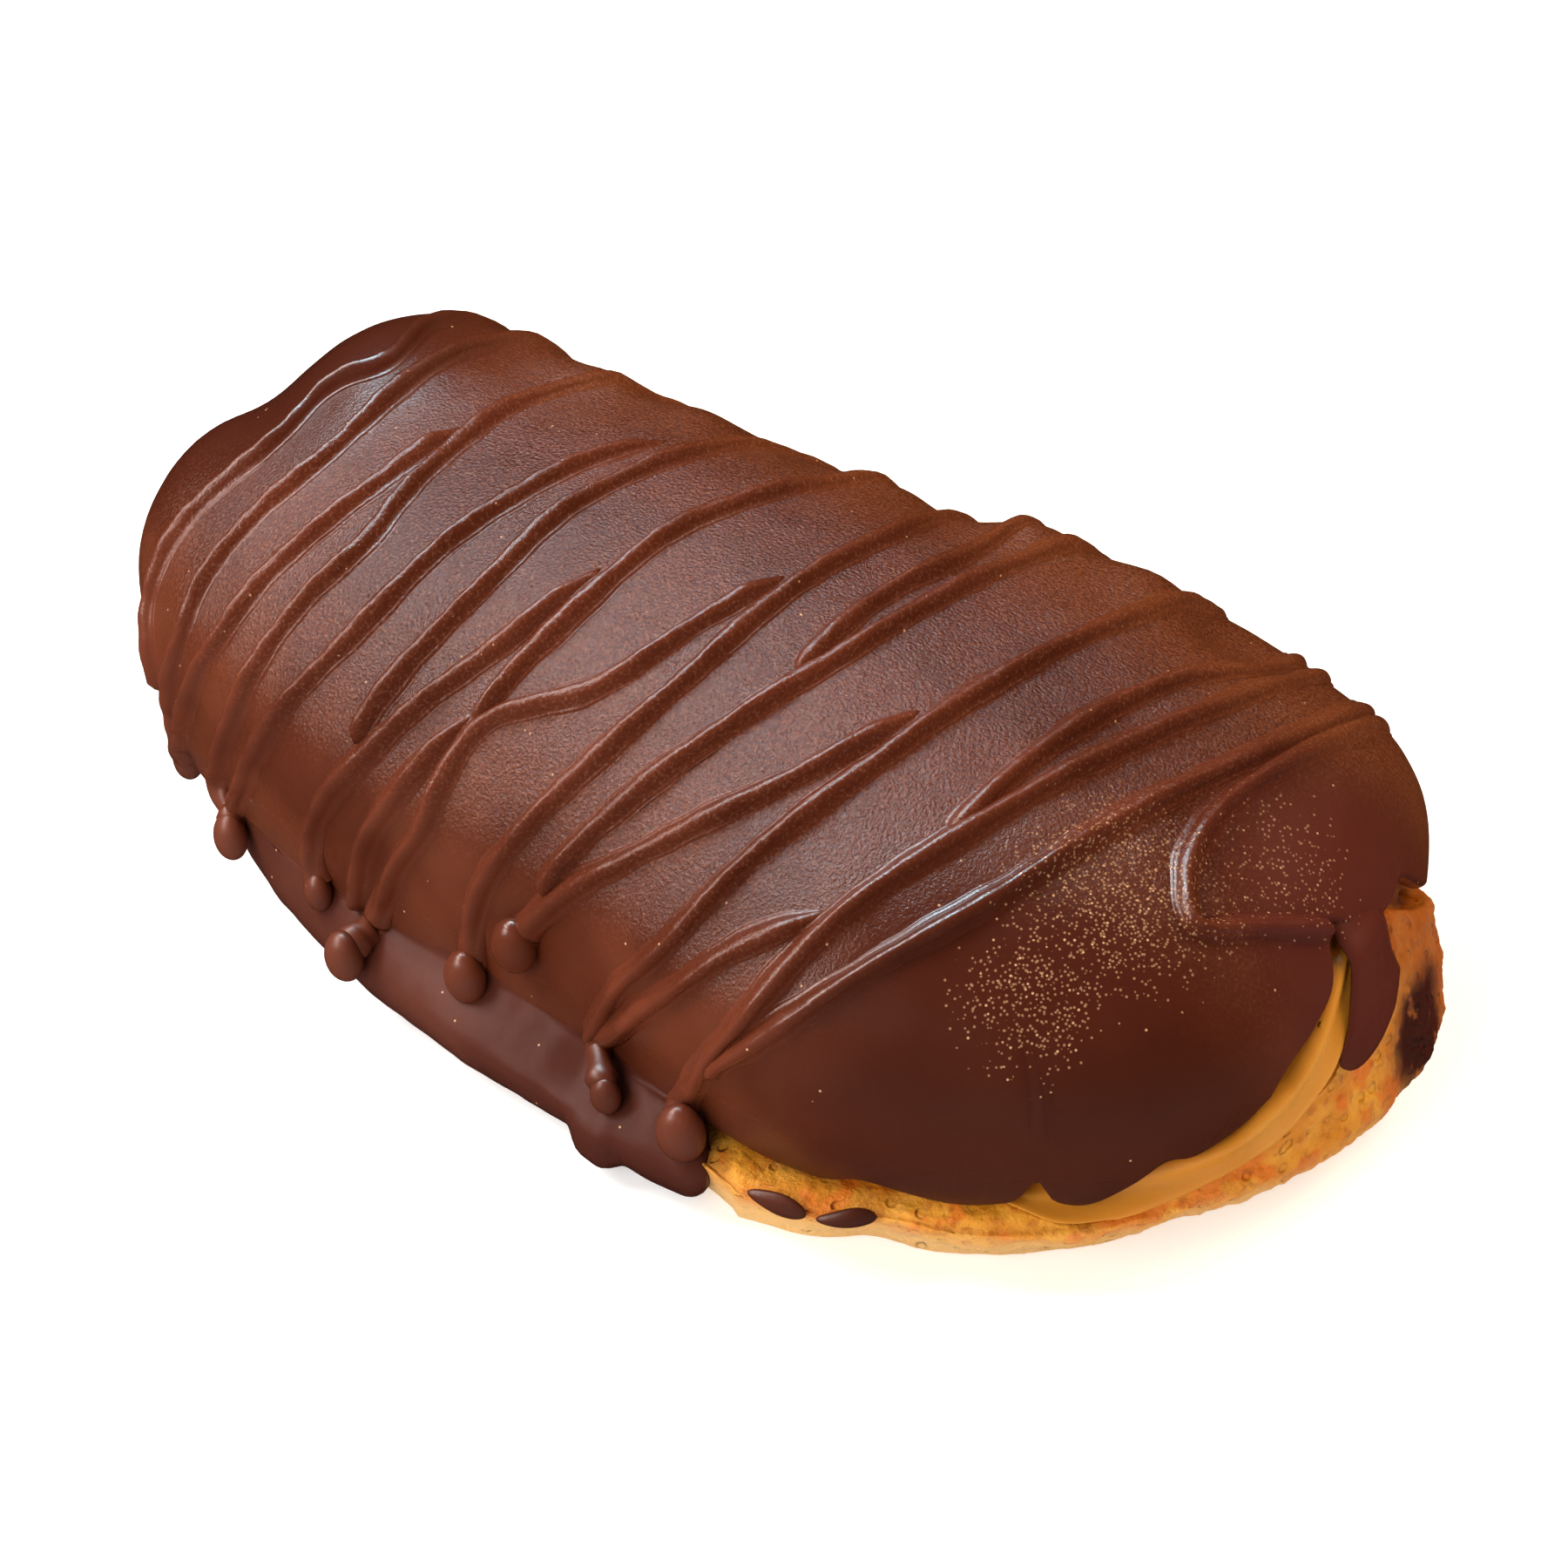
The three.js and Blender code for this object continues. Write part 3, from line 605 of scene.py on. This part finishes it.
def chocolate(name, deep, milky, grain_depth, gloss=0.4):
    """Chocolate that sets matt and grained on the crown and smooth where it ran thick, with painted light and
    shade in its colour.
    """
    material, tree, shader = new_finish(name)
    place = shape_place(tree)
    # Painted shade: the smooth near right, the far right end and the far left lobes are darkened below, standing
    # in for the shade they lie in.
    near_right = near(tree, place, (44, -22, 16), 14, 27)
    smooth_shaded_zone = maths(tree, "MAXIMUM", near_right, near(tree, place, (60, 5, 24), 8, 20))
    smooth_and_shaded = maths(tree, "MAXIMUM", smooth_shaded_zone, near(tree, place, (-54, 10, 27), 13, 26))
    far_round = add(tree, "SeparateXYZ", place).outputs["Y"]
    colour = blend(tree, ramp(tree, noise(tree, place, 14, 2), 0.35, 0.65), milky, deep)
    in_warm_light = maths(tree, "MULTIPLY", ramp(tree, far_round, 0.003, 0.018), 0.8)
    colour = blend(tree, in_warm_light, colour, rgb(108, 56, 30))
    # Painted shade: darkens the smooth, shaded zones.
    colour = blend(tree, maths(tree, "MULTIPLY", smooth_and_shaded, 0.85), colour, rgb(62, 24, 13))
    # A wine-red tint at the far right end: partly the chocolate's own redder tone, partly a painted faint sheen.
    wine_red_and_sheen = maths(tree, "MULTIPLY", near(tree, place, (60, 4, 25), 7, 19), 0.6)
    colour = blend(tree, wine_red_and_sheen, colour, rgb(92, 40, 33))
    # Painted highlights: fine light specks on parts of the crown, standing in for glints off tiny bumps.
    glint_zone = near(tree, place, (47, -13, 31.5), 3, 12)
    glint_zone = maths(tree, "MAXIMUM", glint_zone, near(tree, place, (46, -24, 27.5), 1, 8))
    thin_glints = maths(tree, "MULTIPLY", near(tree, place, (54, 1, 29.5), 2, 9), 0.5)
    glint_zone = maths(tree, "MAXIMUM", glint_zone, thin_glints)
    painted_glints = maths(
        tree, "MAXIMUM",
        maths(tree, "MULTIPLY", specks(tree, place, 0.32, 0.15, maths(tree, "MULTIPLY", glint_zone, 0.8)), 0.45),
        specks(tree, place, 0.62, 0.14, maths(tree, "ADD", maths(tree, "MULTIPLY", glint_zone, 0.6), 0.01)),
    )
    colour = blend(tree, maths(tree, "MULTIPLY", painted_glints, 0.85), colour, rgb(206, 158, 118))
    height_up = add(tree, "SeparateXYZ", place).outputs["Z"]
    grained = maths(tree, "MULTIPLY", ramp(tree, height_up, 0.018, 0.031), maths(tree, "SUBTRACT", 1.0, smooth_and_shaded))
    grain = noise(tree, place, 0.30, 3, 0.6)
    # Painted shade: the grain's hollows are darkened.
    grain_hollow_shade = maths(tree, "MULTIPLY", ramp(tree, grain, 0.54, 0.38), grained)
    colour = blend(tree, maths(tree, "MULTIPLY", grain_hollow_shade, 2.4 * grain_depth), colour, rgb(52, 20, 10))
    # Painted highlight: the grain's peaks are lightened to a pinkish sheen.
    grain_peak_highlight = maths(tree, "MULTIPLY", ramp(tree, grain, 0.54, 0.66), grained)
    colour = blend(tree, maths(tree, "MULTIPLY", grain_peak_highlight, 0.22), colour, rgb(150, 104, 84))
    tree.links.new(colour, shader.inputs["Base Color"])
    dull_foot = ramp(tree, height_up, 0.014, 0.009, 0.0, 0.15)
    rough = maths(tree, "ADD", mix_value(tree, grained, 0.26, 0.20), dull_foot)
    tree.links.new(rough, shader.inputs["Roughness"])
    shader.inputs["Specular IOR Level"].default_value = gloss
    grain = maths(tree, "MULTIPLY", grain, mix_value(tree, grained, 0.1, 1.0))
    emboss(tree, [(noise(tree, place, 3.5, 2), 0.10), (grain, grain_depth)], shader)
    return material


coat_finish = chocolate("set_chocolate", rgb(78, 33, 17), rgb(94, 45, 26), 0.22)
coat.data.materials.clear()
coat.data.materials.append(coat_finish)
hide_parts("chocolate_coat")
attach(coat, "root")

# ---- The skirt ----
# The same chocolate round the lower half, where the bun stood in it: a curved band from the
# table up under the coat's rim, which ends at the near right in an upright edge.
RECESS = [(-76, 5, 1.0)]  # where a groove stays open under the rim: bearing, reach and depth
POOL = (-73.2, 3.6, 1.7)  # the small pool at the foot, measured in the same way


def skirt_skin(turn, run):
    behind = mix(0.0, SKIRT_FROM - SKIRT_TO, run)
    t = np.radians(SKIRT_FROM - behind)
    phi = np.arctan2(np.sin(t), np.cos(t))
    end = np.minimum(run, 1 - run) * 120
    full = np.sqrt(1 - (1 - np.clip(end / 2, 0, 1)) ** 2)
    sunk = sum(depth * np.exp(-((turn_from(phi, at) / width) ** 2)) for at, width, depth in RECESS)[:, None]
    pool = POOL[2] * np.exp(-((turn_from(phi, POOL[0]) / POOL[1]) ** 4))
    profile = [(0.88, 0, 1.1), (0.935, 1.8, 1.2), (0.968, 3.8, 0.7), (0.975, 5.8, 0.3)]
    feet = [push_out(foot(phi, share, z), pool * spread) for share, z, spread in profile]
    rim_rows = ((-66, 0.12), (-46, -0.35), (-60, -1.0))
    rim = [dome(phi, np.full_like(phi, math.radians(arc)), lift) for arc, lift in rim_rows]
    shoulder = mix(mix(feet[3], rim[0], 0.36), mix(feet[3], rim[0], 0.7), sunk)
    shoulder[:, 2] = 7.7
    neck = push_out(mix(feet[3], rim[0], 0.8), -1.2 * sunk[:, 0])
    neck[:, 2] = 9.0
    inner = [push_out(p, np.full_like(phi, -0.8)) for p in (neck - [0, 0, 1], feet[3], feet[2], feet[1], feet[0])]
    loop = feet + [shoulder, neck] + rim + inner
    core = sum(loop) / len(loop)
    p = through([loop[-1], *loop, loop[0], loop[1]], (1 + turn * len(loop)) / (len(loop) + 2))
    p = mix(core, p, full[:, None])
    p[:, 2] = np.maximum(p[:, 2], 0)
    return p


skirt = closed_skin("chocolate_skirt", 44, 360, skirt_skin)
skirt_points = points_of(skirt)
weigh(skirt, "off_the_table", smooth(skirt_points[:, 2], 0.3, 2))
rough_up(skirt, "skirt_waves", "CLOUDS", 8.0, 0.7, 0.6, "off_the_table")
skirt_finish = chocolate("skirt_chocolate", rgb(68, 31, 22), rgb(80, 40, 30), 0.1, gloss=0.08)
skirt.data.materials.clear()
skirt.data.materials.append(skirt_finish)
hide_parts("chocolate_coat")
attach(skirt, "root")

# ---- The piped lines ----
# Chocolate swung to and fro across the bun from a fine nozzle: about twenty raised lines that
# flow into the coat, cross and merge, and end in drops where they ran over the near rim.
LINE_WIDTH, LINE_HEIGHT = 0.95, 1.3
RING_STEP, BEND_STEP = 0.8, 0.5
RIM_ARC = -72  # lines are cut where the coat turns in at its rim, in degrees of the dome's arc
LIP_AT, LIP_SPREAD, LIP_HEIGHT = 1.16, 0.13, 0.16  # the fine raised edge along both sides of a line
ROUTES = [
    [(-56.5, -25), (-50.5, -19), (-45.5, -15), (-40.5, -10), (-35.5, -5), (-33.5, 0), (-30.5, 3),
     (-31.5, 8), (-31.5, 14)],
    [(-60, -29), (-54, -26.8), (-48.2, -25.2), (-41.8, -22.2), (-36.8, -17), (-32.6, -11),
     (-29.5, -6), (-28, 2), (-27.5, 14)],
    [(-60.5, -29.8), (-53, -28), (-43.4, -26.4), (-38, -23.6), (-33.2, -20.5), (-29.3, -16),
     (-25.5, -11), (-23.3, -6), (-21.8, 1)],
    [(-50, -36.5), (-47.6, -32.4), (-41, -30), (-34, -26.6), (-29, -22.3), (-24.6, -17),
     (-21.3, -11.5), (-20.8, -7), (-20.8, 6), (-19.3, 14)],
    [(-48.5, -37), (-45.4, -34), (-38.5, -31.7), (-32, -28.8), (-25, -24), (-18.8, -17.4),
     (-15.2, -9.2), (-12.4, 0), (-10.4, 6)],
    [(-17.8, -25), (-14.4, -19), (-11.2, -12), (-10.2, -5), (-8.3, 4), (-7.3, 13)],
    [(-32, -39.5), (-28.6, -34.6), (-23.4, -31), (-16.8, -25.6), (-12, -20.2), (-7.7, -14), (-5.2, -7)],
    [(-7.4, -20), (-6.3, -16), (-4.6, -10), (-3.3, -2), (-1.3, 5), (-0.3, 13)],
    [(-23, -41), (-21, -38.6), (-15.8, -34), (-10.9, -29), (-8.8, -24), (-6.6, -19.3),
     (-0.3, -13.8), (2.6, -7), (4.1, -2)],
    [(-26.2, -41), (-23.8, -37.5), (-18.4, -32.4), (-14.6, -28.6), (-11, -24), (-7.8, -19)],
    [(-7.6, -40), (-6.6, -35.5), (-4.3, -30.3), (-1.6, -25.3), (2, -17.6), (4.1, -11), (4.9, -4),
     (5.9, 5), (5.6, 14)],
    [(9.2, -8), (9.2, -1), (10, 5), (10, 14)],
    [(1.2, -29.5), (2.4, -26), (5.5, -19), (8.6, -11.5), (10.6, -5), (12, 4), (13.5, 14)],
    [(-0.4, -34.4), (2, -30.3), (4.8, -26.2), (7.5, -23), (10.5, -18.8), (14, -13), (16.5, -6)],
    [(8.8, -41), (11.2, -33), (13.5, -27), (15, -19), (17, -10), (18, -3), (20, 7), (21.5, 14)],
    [(10.2, -40), (15.3, -31.3), (18.4, -24.3), (21.8, -19.3)],
    [(23.3, -42), (22.2, -36), (22.4, -29), (22.5, -19), (24.5, -10), (26.5, -2), (29, 6), (31.5, 15)],
    [(23.8, -12), (23.5, -8), (23.8, -2), (25.5, 5), (29, 13)],
    [(22.7, -34.2), (24.4, -29.2), (26.5, -21.6), (28.8, -14), (30.5, -5), (33.5, 5), (36.5, 15)],
    [(49.5, 0.5), (44.3, -4), (40.4, -7.2), (36.4, -4.6), (34.8, 0), (36, 8), (38.5, 16)],
]
FAR_SIDE = [(1.5, 21), (2, 29), (3.5, 37)]
BEADS = [  # the middle of each drop and its half width
    (-50.8, -19.6, 6.4, 2.4), (-38.4, -27.3, 7.4, 2.4), (-25.0, -30.4, 9.2, 1.9), (-18.8, -34.2, 7.4, 2.5),
    (-6.2, -32.6, 10.2, 2.6), (-0.5, -32.6, 16.3, 2.7), (12.2, -36.4, 8.8, 1.8), (20.4, -36.7, 9.2, 2.8),
]
DROPS = {1: 0, 3: 1, 6: 2, 8: 3, 10: 4, 13: 5, 15: 6, 16: 7}  # which line each drop ends


def laid(route, step):
    """Points every step along a smooth curve through a route on the unrolled plan."""
    knots = np.array(route, float)
    knots = np.vstack([2 * knots[0] - knots[1], knots, 2 * knots[-1] - knots[-2]])
    drawn = []
    for a, b, c, d in zip(knots, knots[1:], knots[2:], knots[3:]):
        times = np.cumsum([0] + [math.sqrt(np.linalg.norm(q - p)) for p, q in ((a, b), (b, c), (c, d))])
        t = np.linspace(times[1], times[2], 24, endpoint=False)[:, None]

        def span(p, q, i, j):
            return p * (times[j] - t) / (times[j] - times[i]) + q * (t - times[i]) / (times[j] - times[i])
        ab, bc, cd = span(a, b, 0, 1), span(b, c, 1, 2), span(c, d, 2, 3)
        drawn.append(span(span(ab, bc, 0, 2), span(bc, cd, 1, 3), 1, 2))
    drawn = np.vstack([*drawn, knots[-2]])
    gone = np.concatenate([[0], np.cumsum(np.linalg.norm(np.diff(drawn, axis=0), axis=1))])
    count = math.ceil(gone[-1] * 1.2 / step)
    at = np.linspace(0, gone[-1], count + 1)
    return np.stack([np.interp(at, gone, drawn[:, k]) for k in (0, 1)], -1)


def on_coat(plan, lift=0.0):
    return dome(*unroll(plan[..., 0], plan[..., 1]), lift)


def settle(plan, target):
    """The plan points whose places on the coat lie nearest to target."""
    for _ in range(3):
        here = on_coat(plan)
        miss = target - here
        ax = (on_coat(plan + [0.05, 0]) - here) / 0.05
        ay = (on_coat(plan + [0, 0.05]) - here) / 0.05
        xx, yy, xy = (ax * ax).sum(-1), (ay * ay).sum(-1), (ax * ay).sum(-1)
        mx, my = (ax * miss).sum(-1), (ay * miss).sum(-1)
        det = np.maximum(xx * yy - xy * xy, 1e-6)
        step = np.stack([(mx * yy - my * xy) / det, (my * xx - mx * xy) / det], -1)
        plan = plan + np.clip(step, -2, 2)
    return plan


def piped(index, route):
    far = route[-1]
    if far[1] > 12:
        route = route + [(far[0] + dx, y) for dx, y in FAR_SIDE]
    spine_plan = laid(route, RING_STEP)
    above_rim = unroll(spine_plan[:, 0], spine_plan[:, 1])[1] > math.radians(RIM_ARC)
    spine_plan = spine_plan[max(above_rim.argmax() - 1, 0):]
    spine = on_coat(spine_plan)
    drop = np.array(BEADS[DROPS[index]], float) if index in DROPS else None
    free = 0
    up = outward(spine)
    if drop is not None:
        spine, spine_plan, up = spine[2:], spine_plan[2:], up[2:]
        way = spine[0] - drop[:3]
        length = np.linalg.norm(way)
        t = np.arange(0, 1, BEND_STEP / length)[:, None]
        onward = (spine[1] - spine[0]) / np.linalg.norm(spine[1] - spine[0]) * length
        lift_off = np.array([0, 0, 0.8]) * length + way * [0.1, 0.1, 0]
        bend = (2 * t**3 - 3 * t**2 + 1) * drop[:3] + (t**3 - 2 * t**2 + t) * lift_off
        bend = bend + (3 * t**2 - 2 * t**3) * spine[0] + (t**3 - t**2) * onward
        free = len(bend)
        wall_out = outward(drop[:3]) * [1, 1, 0.2]
        blend_up = mix(wall_out, up[0], smooth(np.linspace(0, 1, free), 0.3, 1)[:, None])
        up = np.vstack([blend_up, up])
        spine = np.vstack([bend, spine])
        spine_plan = np.vstack([np.repeat(spine_plan[:1], free, 0), spine_plan])
    rings = len(spine) - 1
    ahead = np.gradient(spine, axis=0)
    side = np.cross(ahead, up)
    side /= np.linalg.norm(side, axis=-1, keepdims=True)
    square = np.cross(side, ahead)
    square /= np.linalg.norm(square, axis=-1, keepdims=True)
    gone = np.concatenate([[0], np.cumsum(np.linalg.norm(np.diff(spine, axis=0), axis=1))])
    height = LINE_HEIGHT * mix(1, 0.5, smooth(spine_plan[:, 1], 2, 12))
    height = height * (1 + 0.10 * np.sin(gone * 0.55 + index) + 0.05 * np.sin(gone * 1.9 + 2 * index))
    width = LINE_WIDTH * (1 + 0.10 * np.sin(gone * 0.37 + 2.3 * index) + 0.05 * np.sin(gone * 1.3 + index))
    left = gone[-1] - gone
    taper = smooth(left, 0, 5) if far[1] <= 12 else smooth(left, 0, 2)
    start = smooth(gone, -0.5, 1.6)
    if drop is not None:
        swell = np.exp(-((gone / (1.3 * drop[3])) ** 2))
        width, height = width * (1 + 0.45 * swell), height * (1 + 0.3 * swell)

    def place(turn, run):
        ring = np.round(run * rings).astype(int)
        angle = math.tau * turn
        top = turn <= 0.5
        across = 1.5 * np.cos(angle)
        body = np.maximum(1 - across**2, 0) ** 0.7
        lip = LIP_HEIGHT * np.exp(-(((np.abs(across) - LIP_AT) / LIP_SPREAD) ** 2)) * taper[ring] * start[ring]
        crest = height[ring] * start[ring] * taper[ring]
        lift = np.where(top, body * crest + lip - 0.05 * (np.abs(across) > 1.35) + 0.01, -0.6)
        across = np.where(top, across, 1.4 * np.cos(angle))
        narrow = width[ring] * np.sqrt(start[ring]) * mix(0.35, 1, taper[ring])
        narrow = np.where((ring == 0) | (ring == rings), 0, narrow)
        plan = settle(spine_plan[ring], spine[ring] + side[ring] * (across * narrow)[:, None])
        laid_down = on_coat(plan, lift)
        round_lift = np.sin(angle) * np.where(top, crest, 0.8 * crest)
        hung = spine[ring] + side[ring] * (1.35 * np.cos(angle) * narrow)[:, None]
        hung = hung + square[ring] * round_lift[:, None]
        hang = smooth(free + 9 - ring, 0, 9) if free else 0 * run
        return mix(laid_down, hung, hang[:, None])
    return closed_skin(f"line_{index}", 44, rings, place)


def bead(x, y, z, radius):
    """A drop at the end of a line, flattened against the bun and fuller at its foot."""
    out = outward(np.array([x, y, z])) * [1, 1, 0]
    out /= np.linalg.norm(out)
    side = np.array([-out[1], out[0], 0])

    def place(turn, run):
        a, b = math.tau * turn, math.pi * run
        full = (0.93 * np.sin(b) * mix(0.85, 1.0, run))[:, None]
        ring = side * full * 0.92 * np.cos(a)[:, None] + out * full * 0.72 * np.sin(a)[:, None]
        return np.array([x, y, z]) + radius * (ring + np.cos(b)[:, None] * [0, 0, 1.0])
    return place


def join(name, pieces):
    bpy.ops.object.select_all(action="DESELECT")
    for piece in pieces:
        piece.select_set(True)
    bpy.context.view_layer.objects.active = pieces[0]
    bpy.ops.object.join()
    pieces[0].name = pieces[0].data.name = name
    return pieces[0]


lines = [piped(index, route) for index, route in enumerate(ROUTES)]
drops = [closed_skin("bead", 36, 24, bead(*each)) for each in BEADS]
drizzle = join("piped_lines", lines + drops)
line_finish = chocolate("piped_chocolate", rgb(82, 36, 20), rgb(98, 46, 28), 0.10)
drizzle.data.materials.clear()
drizzle.data.materials.append(line_finish)
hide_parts("chocolate_coat")
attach(drizzle, "root")

# ---- The drip and the spots ----
# A tongue of chocolate that ran out of the coat down the bare end, and two small splashes that
# fell on the bare bun at the near side.
DRIP = [  # bearing, height and half width, from the coat's edge to the tip
    (4.4, 27.0, 2.6), (4.0, 24.5, 3.6), (3.2, 22.3, 3.9), (2.4, 20.2, 4.2), (2.0, 18.4, 5.1), (0.6, 16.8, 4.5),
    (-0.6, 15.7, 3.2), (-1.6, 14.8, 1.8),
]


def drip_skin(turn, run):
    turns, heights, halves = (np.array(each, float) for each in zip(*DRIP))
    knots = np.linspace(0, 1, len(DRIP))
    at = np.radians(np.interp(run, knots, turns))
    z = np.interp(run, knots, heights)
    half = np.interp(run, knots, halves)
    rows = wall_rows(at)
    arc = np.linspace(-20, 60, 81)[:, None] * math.pi / 180
    on_dome = dome(at[None, :], arc + 0 * at[None, :], mix(-2.0, -0.4, smooth(run, 0, 0.3)))
    row = np.abs(on_dome[..., 2] - z).argmin(0)
    above = on_dome[row, np.arange(len(z))]
    rise = (z - rows[3][:, 2]) / (rows[4][:, 2] - rows[3][:, 2])
    wall = mix(rows[3], rows[4], rise[:, None])
    centre = mix(push_out(wall, np.full_like(z, 0.7)), above, smooth(z, 22, 24.5)[:, None])
    centre[:, 2] = z
    out = outward(centre)
    side = np.stack([-out[:, 1], out[:, 0], 0 * z], -1)
    side /= np.linalg.norm(side, axis=-1, keepdims=True)
    full = np.sqrt(np.clip(1 - np.abs(2 * run - 1) ** 6, 0, 1))
    a = math.tau * turn
    return centre + side * (half * full * np.cos(a))[:, None] + out * (0.9 * full * np.sin(a))[:, None]


def splash(at, height, length, width, lean):
    """A flat splash on the bare bun: bearing, height, half sizes and lean in degrees."""
    def place(turn, run):
        a, b = math.tau * turn, math.pi * run
        across, up, rise = np.sin(b) * np.cos(a), np.sin(b) * np.sin(a), np.cos(b)
        up = up * mix(0.55, 1.0, smooth(across, -1, 0.6))
        tilt = math.radians(lean)
        along = length * across * math.cos(tilt) - width * up * math.sin(tilt)
        z = height + length * across * math.sin(tilt) + width * up * math.cos(tilt)
        phi = np.radians(at) + along / reach(FOOT, np.radians(at))
        rows = wall_rows(phi)
        flat = through([rows[0], rows[1], rows[2], rows[3]], np.interp(z, [0, 2, 6.2, 12], [0, 0.33, 0.67, 1]))
        flat[:, 2] = z
        return push_out(flat, 0.2 + 0.7 * rise)
    return place


splashes = [(-48.6, 7.0, 2.4, 1.3, -8), (-41.7, 6.6, 2.5, 1.1, 6)]
runs = join("drip_and_spots", [closed_skin("drip", 32, 60, drip_skin)] + [
    closed_skin("spot", 32, 20, splash(*each)) for each in splashes
])
runs.data.materials.clear()
runs.data.materials.append(coat_finish)
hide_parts("chocolate_coat")
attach(runs, "root")
